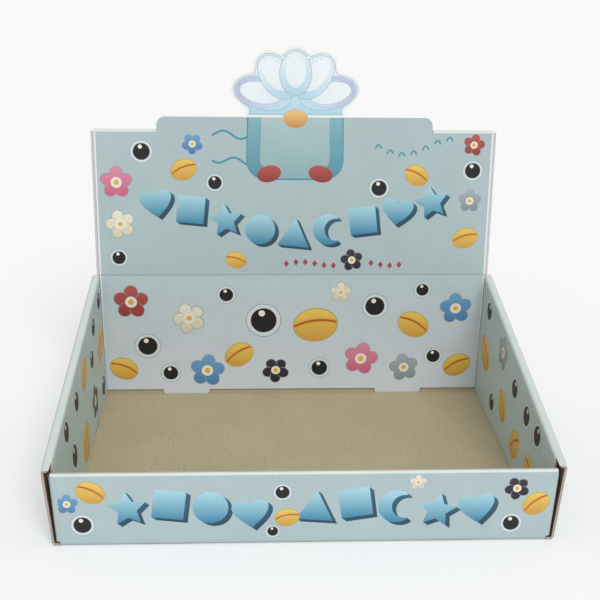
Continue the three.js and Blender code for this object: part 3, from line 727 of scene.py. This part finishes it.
def topper_art():
    """A bow of five ribbon loops over a gold knot, with a white border and a thin line inside it."""
    top = [(x, STRIP_RISE + up) for x, up in topper_loop()]
    art = [("paper_white", top, None), ("outline_grey", inset(top, BORDER), None),
           ("bow_blue", inset(top, BORDER + LINE), ((0, 5), (0, 45)))]
    for x, y, long, wide, tilt in [RIBBONS[i] for i in (0, 4, 1, 3, 2)]:
        cx, cy = x, STRIP_RISE + HUB + y
        tip = (2 * x, STRIP_RISE + HUB + 2 * y)
        ink = "bow_lilac" if abs(math.cos(tilt)) > 0.9 else "bow_pale"
        # A paler oval in each loop: a painted highlight, glare on the topper's face.
        shine = disc(cx + 0.1 * x, cy + 0.1 * y, 0.62 * long, 0.5 * wide, tilt)
        art += [("bow_line", disc(cx, cy, long - 3.2, wide - 3.0, tilt), None),
                (ink, disc(cx, cy, long - 3.7, wide - 3.5, tilt), ((0, STRIP_RISE + HUB), tip)),
                ("bow_painted_glare", shine, ((0, STRIP_RISE), tip))]
    return art


def gift_art():
    """A round-cornered present that hangs from the bow, with a light panel and two red tags."""
    hinge = HEADER_HEIGHT + STRIP_RISE
    quarter = [math.radians(15 * i) for i in range(7)]
    corners = [(cx + 15 * math.cos(start + a), 92 + 15 * math.sin(start + a))
               for cx, start in ((-22, math.pi), (22, 1.5 * math.pi)) for a in quarter]
    outer = [(x * 1.02, y - 0.8) for x, y in corners] + [(37, hinge), (-37, hinge)]
    body = corners + [(36, hinge), (-36, hinge)]
    panel = [(-17, 77.5), (17, 77.5), (27, 90), (26, hinge), (-26, hinge), (-27, 90)]
    return [("streamer_teal", outer, None), ("gift_teal", body, ((0, 77), (0, hinge))),
            ("gift_light", panel, ((0, 70), (0, hinge))),
            ("gift_red", disc(-20, 81, 9.5, 6.5, 0.25), ((0, 75), (0, 87))),
            ("gift_red", disc(20, 81, 9.5, 6.5, -0.25), ((0, 75), (0, 87))),
            ("bow_line", disc(0, hinge - 1, 9.8, 7.3), None),
            ("knot_gold", disc(0, hinge - 1, 9.3, 6.8), ((0, hinge - 8), (0, hinge + 6)))]


header_art = []
for k, (kind, turn) in enumerate([("heart", 0.15), ("block", -0.1), ("star", 0.1), ("disc", 0),
                                  ("wedge", -0.1), ("moon", 0), ("block", 0.12), ("heart", -0.12),
                                  ("star", 0.2)]):
    x = -108 + 27 * k
    header_art += toy(kind, x, 47 - 13 * math.cos(x / 40), 12.6, turn)
header_art += marble(-118, 98, 6.5) + marble(-62, 74, 5.2) + marble(66, 70, 6.0)
header_art += marble(139, 84, 6.0) + marble(-138, 14, 5.2)
header_art += ball(-86, 84, 10.5, 0.4) + ball(95, 80, 10, -0.5)
header_art += ball(136, 30, 10.5, 0.3) + ball(-46, 12, 8.5, -0.3)
header_art += flower(-138, 74, 12.5, "petal_pink") + flower(-79, 104, 8, "petal_blue", 0.9)
header_art += flower(-136, 41, 11.5, "petal_cream", 0.6) + flower(138, 60, 9, "petal_grey")
header_art += flower(139, 104, 8.5, "petal_red", 0.1) + flower(46, 12, 9, "petal_black", 0.5)
for k in range(7):
    x, y = 62 + 9.2 * k, 101 - 6 * math.sin(k * 0.75)
    wave = [(x + t, y + 3 * math.sin(t / 1.6)) for t in range(6)]
    header_art.append(("streamer_teal", stroke(wave, 1.3), None))
for y, phase in [(110, 0), (90, 2)]:
    line = [(-36 - 2.0 * t, y + 0.18 * t - 2.6 * math.sin(0.5 * t + phase)) for t in range(15)]
    header_art.append(("streamer_teal", stroke(line, 1.6), None))
for k in range(13):
    x, y = -6 + 7.5 * k, 9 + 1.5 * math.sin(k)
    if abs(x - 46) > 13:
        header_art.append(("diamond_red", [(x - 2.1, y), (x, y - 2.8), (x + 2.1, y), (x, y + 2.8)], None))
header_art += gift_art()

rear_art = marble(-24, 66, 10.5) + ball(18, 62, 18.5, 0.12) + marble(-118, 44, 7.8)
rear_art += ball(-138, 24, 12, -0.4) + flower(-130, 82, 14, "petal_red")
rear_art += flower(-84, 68, 13, "petal_cream", 0.7) + flower(-70, 22, 14, "petal_blue", 0.2)
rear_art += marble(-100, 20, 6.0) + ball(-44, 36, 12.5, 0.6) + flower(-14, 22, 11, "petal_black", 0.9)
rear_art += marble(-54, 88, 5.5) + flower(56, 32, 14, "petal_pink", 0.1) + marble(22, 24, 6.5)
rear_art += marble(66, 78, 7.8) + ball(98, 62, 13.5, -0.5) + flower(92, 24, 12, "petal_grey", 0.5)
rear_art += marble(116, 34, 5.5) + flower(132, 76, 13, "petal_blue", 0.4)
rear_art += ball(136, 26, 12, 0.5) + flower(38, 90, 8.5, "petal_cream", 0.3) + marble(104, 92, 5.0)

crease = header.knots[2] - CREASE_REACH
GROUND_HALF, GROUND_TOP = 152.4, 104.5
MARGIN_INNER, MARGIN_OUTER, MARGIN_FOOT, MARGIN_TOP = 152.5, 153.8, 5, crease + 113
margins = [("paper_white", [(side * MARGIN_INNER, MARGIN_FOOT), (side * MARGIN_OUTER, MARGIN_FOOT),
                            (side * MARGIN_OUTER, MARGIN_TOP), (side * MARGIN_INNER, MARGIN_TOP)], None)
           for side in (-1, 1)]
# Its fade, paler towards the floor, is painted light.
rear_ground_painted_light = [("rear_ground_painted_light", [(-GROUND_HALF, 0), (GROUND_HALF, 0), (GROUND_HALF, GROUND_TOP),
                                (-GROUND_HALF, GROUND_TOP)], ((0, 0), (0, GROUND_TOP)))]
# The band on the crease is painted shade.
art = [*margins, band(SHOULDER_HALF, crease - 0.45, crease + 0.45, "crease_painted_shade")]
art += printed(rear_ground_painted_light, on_rear_panel) + printed(topper_art(), on_strip)
art += printed(header_art, on_header_face) + printed(rear_art, on_rear_panel)
fold_sheet("header_with_topper", header, header_outline(), (), art)

# The side walls are part of the same board. They rise from the floor, fold over a flat ledge that
# climbs to the back, and come down inside to two tabs in the floor. Towards the front each wall twists a
# little outwards at its top. The bare kraft shows only in the slits at the corners; its dark brown is
# painted shade in those narrow gaps.
SIDE_FLARE, FOOT_SPLAY, REAR_CORNER_RADIUS, LEDGE_CLEARANCE = 4.0, 1.2, 6.0, 1.2
SIDE_FRONT_HEIGHT = FRONT_HEIGHT + BOARD + LEDGE_CLEARANCE
SIDE_FOOT_X, SIDE_FOOT_Z = HALF_WIDTH - HALF - 2 * LAYER - FOOT_SPLAY, BOARD + EDGE_LIFT
SIDE_START, SIDE_END = FRONT_Y + 0.3, BACK_Y - 0.3
INNER_SET_BACK, ROUNDED_TO = 8.0, 101.0
PANEL_MARGIN, COLUMNS = 4, 16
GREY_OUTSIDE, GREY_INSIDE = 0.2, 1.3    # a grey line on either side of where the roll's outer fold begins
LEDGE_STEP = 1.2                # how far past that fold the ledge's rear edge starts
litho_ink("fold_grey", "#8f9a9b", roughness=0.5, coat=0.05)
# The side sheets' kraft face, darker than the floor's kraft: painted shade in the narrow slits where it
# shows.
bare_paper("kraft_inside_folds", "#6f543d", 0.1)
# A paler copy of the print ground for the side walls' inner faces: painted light that brightens the inside of
# the tray.
litho_ink("inside_ground_painted_light", "#b9cac8")


def side_height(y):
    return SIDE_FRONT_HEIGHT + (BACK_HEIGHT - SIDE_FRONT_HEIGHT) * (y - FRONT_Y) / (BACK_Y - FRONT_Y)


def outer_x(y, z):
    flare = SIDE_FLARE * (BACK_Y - y) / (BACK_Y - FRONT_Y)
    return HALF_WIDTH - HALF + flare * (z - HALF) / (side_height(y) - BOARD)


def inner_x(y, z):
    top = side_height(y) - HALF
    top_x = outer_x(y, top) - 2 * LAYER
    return SIDE_FOOT_X + (top_x - SIDE_FOOT_X) * (z - SIDE_FOOT_Z) / (top - SIDE_FOOT_Z)


def between_layers(y, z):
    return (outer_x(y, z) + inner_x(y, z)) / 2


def side_line(y):
    top = side_height(y) - HALF
    return folded_line([(FLOOR_HALF, HALF), (HALF_WIDTH - HALF, HALF), (outer_x(y, top), top),
                        (inner_x(y, top), top), (inner_x(y, TAB_CLEARANCE), TAB_CLEARANCE)],
                       [FOLD_RADIUS, ROLL_RADIUS, ROLL_RADIUS])


def add_side(side, name, seed):
    # The flutes run from front to back, as they do in the floor.
    wall = Sheet(side_line, lambda y, p: Vector((side * p.x, y, p.y)), -1, BACK_Y, flutes_along=False)
    knots = wall.knots

    def on_outside(y, z):
        foot, top = HALF + FOLD_RADIUS, side_height(y) - HALF - ROLL_RADIUS
        return y, knots[2] + wall.lengths[2] * (z - foot) / (top - foot)

    def on_inside(y, z):
        top = side_height(y) - HALF - ROLL_RADIUS
        return y, knots[6] + wall.lengths[6] * (top - z) / (top - TAB_CLEARANCE)

    def strip(ink, low, high):
        return ink, [(SIDE_START, low), (SIDE_END, low), (SIDE_END, high), (SIDE_START, high)], None

    def fits(y, z, r):
        return z + r < side_height(y) - PANEL_MARGIN

    corner_y, corner_z = SIDE_END - REAR_CORNER_RADIUS, side_height(SIDE_END) - REAR_CORNER_RADIUS
    arc = [math.radians(9 * i) for i in range(8)]
    rounded = [(corner_y + REAR_CORNER_RADIUS * math.cos(a), corner_z + REAR_CORNER_RADIUS * math.sin(a))
               for a in arc]
    ledge_end, inner_end = BACK_Y - LAYER, FRONT_Y + INNER_SET_BACK
    root = [on_inside(y, SIDE_FOOT_Z) for y in (ledge_end, inner_end)]
    tabs = [on_inside(y, z) for centre in (SIDE_TAB_OFFSET, -SIDE_TAB_OFFSET)
            for y, z in reversed(tab_loop(centre, SIDE_TAB_WIDTH, SIDE_FOOT_Z))]
    lip = (knots[5] + knots[6]) / 2
    outline = [(SIDE_START, 0), (SIDE_END, 0), *[on_outside(y, z) for y, z in rounded if z < ROUNDED_TO],
               (ledge_end, knots[3] + LEDGE_STEP), root[0], *tabs, root[1],
               (inner_end, lip), (SIDE_START, lip)]
    inside = scattered(seed, fits, (-94, 14), (98, 88), 17, (9.0, 10.5, 13.0, 16.0))
    outside = scattered(seed + 10, fits, (-98, 13), (98, 92), 22)
    grey_to = knots[3] + GREY_INSIDE
    # Pale over the rest of the roll, the ledge and the inner fold: stretched print and a painted highlight.
    art = [strip("fold_grey", knots[3] - GREY_OUTSIDE, grey_to), strip("fold_stretch_and_highlight", grey_to, knots[6]),
           # The inner face's paler ground is painted light.
           strip("inside_ground_painted_light", knots[6], knots[7])]
    art += printed(outside, on_outside) + printed(inside, on_inside)
    columns = [SIDE_START + (SIDE_END - SIDE_START) * i / COLUMNS for i in range(1, COLUMNS)]
    rows = [knots[k] + wall.lengths[k] * i / 4 for k in (2, 6) for i in (1, 2, 3)]
    fold_sheet(name, wall, outline, (), art, columns, rows, lambda p: "kraft_inside_folds")


add_side(-1, "left_side_wall", 33)
add_side(1, "right_side_wall", 150)

# The dust flaps: each goes on round the corner from the front or the back wall and slips between the
# two layers of the side wall, where the roll holds it. Only the front ones show, in the corner slits.
FRONT_FLAP_LENGTH, BACK_FLAP_LENGTH, FLAP_RUN, FLAP_BEVEL = 50.0, 70.0, 8.0, 12.5
FLAP_FOOT, FRONT_FLAP_TOP, BACK_FLAP_TOP = 3.2, 46.2, 97.5
FOLD_NARROWING = 1.8            # how much nearer the front flap folds at its foot than at the roll
REAR_NECK, SLOPE_START, SLOPE_DROP = 3, 5, 7.5      # the rear flap's top slopes under the side wall's roll
REAR_TIP_DROP, REAR_TIP_BEVEL = 6, (20, 7.5)


def front_flap_line(z):
    fold_x = FRONT_TOP_HALF + FOLD_NARROWING * (z / FRONT_HEIGHT - 1)
    return folded_line([(FRONT_HALF, FRONT_Y + HALF), (fold_x, FRONT_Y + HALF),
                        (between_layers(FRONT_Y + FLAP_RUN, z), FRONT_Y + FLAP_RUN),
                        (between_layers(FRONT_Y + FRONT_FLAP_LENGTH, z), FRONT_Y + FRONT_FLAP_LENGTH)],
                       [FOLD_RADIUS, 2 * FOLD_RADIUS])


def back_flap_line(z):
    end_y = BACK_Y - BACK_FLAP_LENGTH
    return folded_line([(BACK_HALF, BACK_Y - HALF), (between_layers(BACK_Y, z), BACK_Y - HALF),
                        (between_layers(end_y, z), end_y)], [FOLD_RADIUS])


for side, label in ((-1, "left"), (1, "right")):
    flap = Sheet(front_flap_line, lambda z, p, side=side: Vector((side * p.x, p.y, z)), -1, 25.0)
    end = flap.knots[-1]
    outline = [(FLAP_FOOT, 0), (FRONT_FLAP_TOP, 0), (FRONT_FLAP_TOP, end - FLAP_BEVEL),
               (FRONT_FLAP_TOP - FLAP_BEVEL, end), (FLAP_FOOT, end)]
    fold_sheet(f"{label}_front_flap", flap, outline, columns=(18, 32))
    flap = Sheet(back_flap_line, lambda z, p, side=side: Vector((side * p.x, p.y, z)), 1, 50.0)
    end = flap.knots[-1]
    tip = side_height(BACK_Y - BACK_FLAP_LENGTH)
    outline = [(FLAP_FOOT, 0), (BACK_FLAP_TOP, 0), (BACK_FLAP_TOP, REAR_NECK),
               (side_height(BACK_Y - SLOPE_START) - SLOPE_DROP, SLOPE_START),
               (tip - REAR_TIP_DROP, end - REAR_TIP_BEVEL[1]), (tip - REAR_TIP_BEVEL[0], end),
               (FLAP_FOOT, end)]
    fold_sheet(f"{label}_rear_flap", flap, outline, columns=(30, 60))

# The set: a plain white paper floor in white surroundings, and one broad soft light from the front and
# above. The floor and the surroundings look whiter to the camera than they are to the light.
FLOOR_GRAIN = 1000 / 300


def add_studio():
    scene = bpy.context.scene
    scene.view_settings.view_transform = "Standard"
    bpy.ops.mesh.primitive_plane_add(size=30, location=(0, 0, -0.0003))
    ground = bpy.context.object
    ground.name = "studio_floor"
    material, tree = empty_material("studio_floor_paper")
    spot = node(tree, "ShaderNodeTexCoord").outputs["Object"]
    seen = node(tree, "ShaderNodeLightPath").outputs["Is Camera Ray"]
    white = node(tree, "ShaderNodeMapRange", {"To Min": 0.9, "To Max": 1.0}, {0: seen})
    tone = product(tree, varied(tree, spot, FLOOR_GRAIN, 0.004), white)
    paper = node(tree, "ShaderNodeBsdfDiffuse", links={"Color": tone})
    node(tree, "ShaderNodeOutputMaterial", links={0: paper})
    ground.data.materials.append(material)
    world = bpy.data.worlds.new("studio")
    scene.world = world
    world.use_nodes = True
    tree = world.node_tree
    tree.nodes.clear()
    path = node(tree, "ShaderNodeLightPath")
    brightness = {"To Min": 0.6, "To Max": 0.95}
    strength = node(tree, "ShaderNodeMapRange", brightness, {0: path.outputs["Is Camera Ray"]})
    sky = node(tree, "ShaderNodeBackground", {"Color": (1, 1, 1, 1)}, {"Strength": strength})
    node(tree, "ShaderNodeOutputWorld", links={0: sky})
    light = bpy.data.lights.new("soft_key", "SUN")
    light.angle = math.radians(35)
    light.energy = 1.6
    lamp = bpy.data.objects.new("soft_key", light)
    lamp.rotation_euler = Vector((-0.15, 0.75, -0.7)).to_track_quat("-Z", "Y").to_euler()
    scene.collection.objects.link(lamp)


add_studio()
